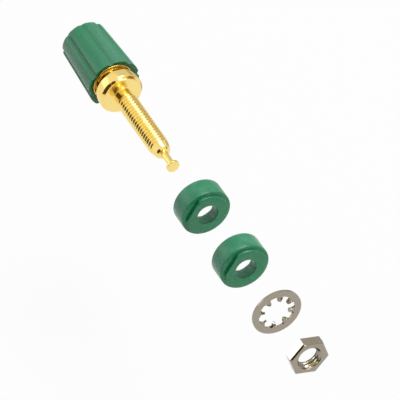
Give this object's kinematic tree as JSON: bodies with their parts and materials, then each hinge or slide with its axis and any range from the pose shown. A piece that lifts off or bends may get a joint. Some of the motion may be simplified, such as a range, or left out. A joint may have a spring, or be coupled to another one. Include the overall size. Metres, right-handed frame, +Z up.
{
  "type": "binding post",
  "caption": "Panel binding post with a fluted screw-down knob on a plated post, threaded stud with solder turret, two insulating bushings, lock washer and hex nut laid out along its axis.",
  "frame": {"origin": "centre of the collar's front face, on which the front bushing seats behind the panel's front", "axes": "+Y along the stud towards the solder turret, the knob points to -Y, +Z up, +X across"},
  "size_m": [0.0108, 0.1019, 0.0108],
  "materials": {
    "gold_plate": "polished gold plating on turned brass",
    "green_plastic": "satin moulded nylon",
    "nickel_plate": "bright nickel plating"
  },
  "bodies": {
    "post": {"post": "gold_plate"},
    "knob_insert": {"knob_insert": "gold_plate"},
    "knob_shell": {"knob_shell": "green_plastic"},
    "front_bushing": {"front_bushing": "green_plastic"},
    "rear_bushing": {"rear_bushing": "green_plastic"},
    "lock_washer": {"lock_washer": "nickel_plate"},
    "hex_nut": {"hex_nut": "nickel_plate"}
  },
  "joints": [
    {"name": "knob_travel", "type": "slide", "parent": "post", "child": "knob_insert", "axis": [0, -1, 0], "range_m": [-0.00143, 0.0045]},
    {"name": "knob_turn", "type": "hinge", "parent": "knob_insert", "child": "knob_shell", "pos_m": [0, -0.0042, 0], "axis": [0, -1, 0], "range_deg": [-568, 1786]},
    {"name": "front_bushing_slide", "type": "slide", "parent": "post", "child": "front_bushing", "axis": [0, -1, 0], "range_m": [0, 0.03603]},
    {"name": "rear_bushing_slide", "type": "slide", "parent": "front_bushing", "child": "rear_bushing", "axis": [0, -1, 0], "range_m": [0, 0.01303]},
    {"name": "washer_slide", "type": "slide", "parent": "rear_bushing", "child": "lock_washer", "axis": [0, -1, 0], "range_m": [0, 0.01295]},
    {"name": "nut_slide", "type": "slide", "parent": "lock_washer", "child": "hex_nut", "axis": [0, -1, 0], "range_m": [0, 0.01195]}
  ],
  "couplings": [
    {"joint": "knob_turn", "follows": "knob_travel", "rad_per_m": 6926.3}
  ]
}
